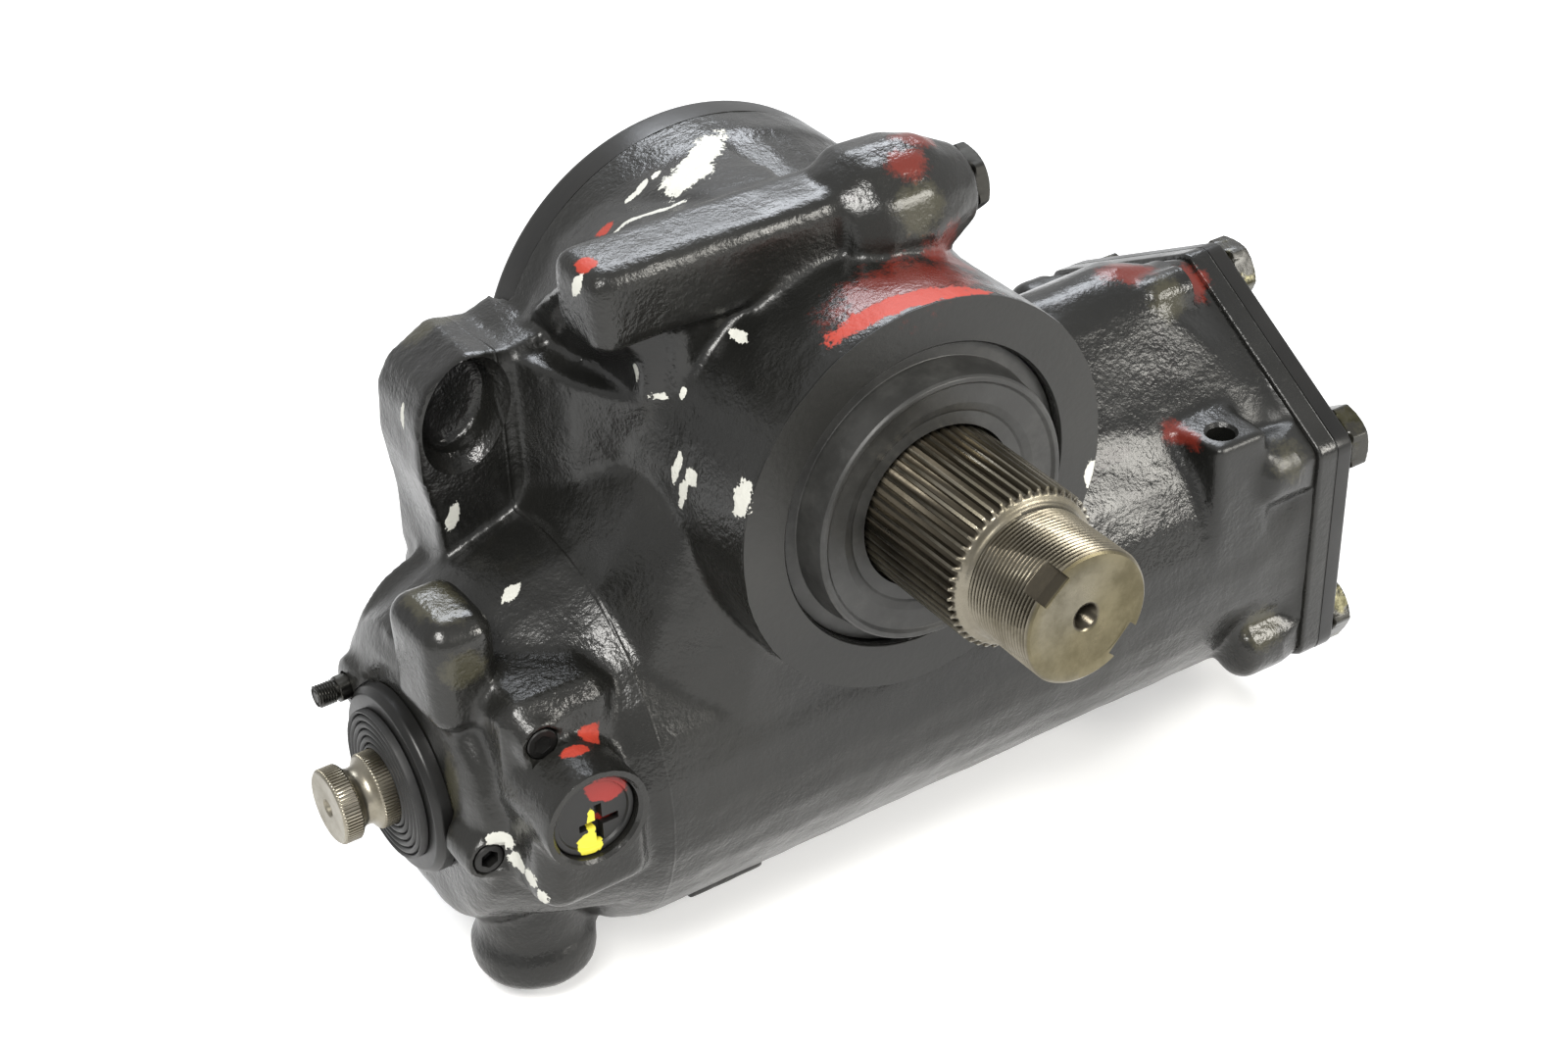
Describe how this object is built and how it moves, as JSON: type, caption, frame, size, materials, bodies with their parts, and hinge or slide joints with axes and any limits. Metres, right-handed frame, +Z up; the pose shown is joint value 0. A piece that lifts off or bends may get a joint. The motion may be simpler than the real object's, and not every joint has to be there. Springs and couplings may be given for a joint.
{
  "type": "steering gearbox",
  "caption": "Hydraulic recirculating-ball steering gearbox for a truck: cast housing, splined sector shaft, rack piston, worm with rotary valve and input shaft, bolted covers.",
  "frame": {"origin": "on the ground plane under the middle of the part's overall box", "axes": "+X along the cylinder from the input shaft to the hexagonal end cover, -Y along the sector shaft to its splined and threaded end, +Z up"},
  "size_m": [0.3786, 0.2702, 0.2824],
  "materials": {
    "black_paint": "semi-gloss paint over sand-cast iron",
    "bare_steel": "machined, slightly browned",
    "dark_steel": "phosphated",
    "ring_plastic": "filled bearing plastic",
    "plug_plastic": "moulded",
    "rubber": "matt"
  },
  "bodies": {
    "housing": {"adjuster_locknut": "dark_steel", "adjusting_screw": "dark_steel", "bleed_fitting": "dark_steel", "dust_boot": "rubber", "end_cover": "black_paint", "end_cover_bolt_1": "dark_steel", "end_cover_bolt_2": "dark_steel", "end_cover_bolt_3": "dark_steel", "end_cover_bolt_4": "dark_steel", "end_cover_bolt_5": "dark_steel", "end_cover_bolt_6": "dark_steel", "end_cover_seal": "rubber", "gear_housing": "black_paint", "input_bearing_cap": "black_paint", "input_bearing_race": "bare_steel", "input_bearing_rollers": "dark_steel", "input_shaft_seal": "rubber", "lower_socket_plug": "dark_steel", "pressure_port_plug": "plug_plastic", "return_port_plug": "plug_plastic", "seal_retaining_ring": "dark_steel", "sector_dust_ring": "rubber", "sector_front_race": "bare_steel", "sector_front_rollers": "dark_steel", "sector_rear_race": "bare_steel", "sector_rear_rollers": "dark_steel", "sector_shaft_seal": "rubber", "side_cover": "black_paint", "side_cover_bolt_1": "dark_steel", "side_cover_bolt_2": "dark_steel", "side_cover_bolt_3": "dark_steel", "side_cover_bolt_4": "dark_steel", "side_cover_bolt_5": "dark_steel", "side_cover_bolt_6": "dark_steel", "side_cover_bolt_7": "dark_steel", "side_cover_bolt_8": "dark_steel", "side_cover_seal": "rubber", "side_hex_plug": "dark_steel", "upper_socket_plug": "dark_steel", "worm_bearing": "dark_steel"},
    "sector": {"sector_shaft": "bare_steel"},
    "piston_body": {"piston": "bare_steel", "piston_ring": "ring_plastic", "ball_train": "bare_steel", "ball_return_tube": "bare_steel"},
    "worm": {"worm_shaft": "bare_steel", "control_valve_sleeve": "bare_steel", "sleeve_seal_ring_1": "ring_plastic", "sleeve_seal_ring_2": "ring_plastic", "sleeve_seal_ring_3": "ring_plastic", "torsion_bar": "bare_steel"},
    "input": {"input_shaft": "bare_steel"}
  },
  "joints": [
    {"name": "sector_swing", "type": "hinge", "parent": "housing", "child": "sector", "pos_m": [-0.0116, 0.0341, 0.18645], "axis": [0, 1, 0], "range_deg": [-42, 42]},
    {"name": "piston_slide", "type": "slide", "parent": "housing", "child": "piston_body", "axis": [1, 0, 0], "range_m": [-0.0352, 0.0352]},
    {"name": "worm_turn", "type": "hinge", "parent": "housing", "child": "worm", "pos_m": [-0.0116, 0.0341, 0.08845], "axis": [1, 0, 0], "range_deg": [-905, 905]},
    {"name": "valve_twist", "type": "hinge", "parent": "worm", "child": "input", "pos_m": [-0.1616, 0.0341, 0.08845], "axis": [1, 0, 0], "range_deg": [-4, 4], "stiffness_Nm_per_rad": 115}
  ],
  "couplings": [
    {"joint": "piston_slide", "follows": "sector_swing", "m_per_rad": -0.048},
    {"joint": "worm_turn", "follows": "sector_swing", "ratio": 21.542}
  ]
}
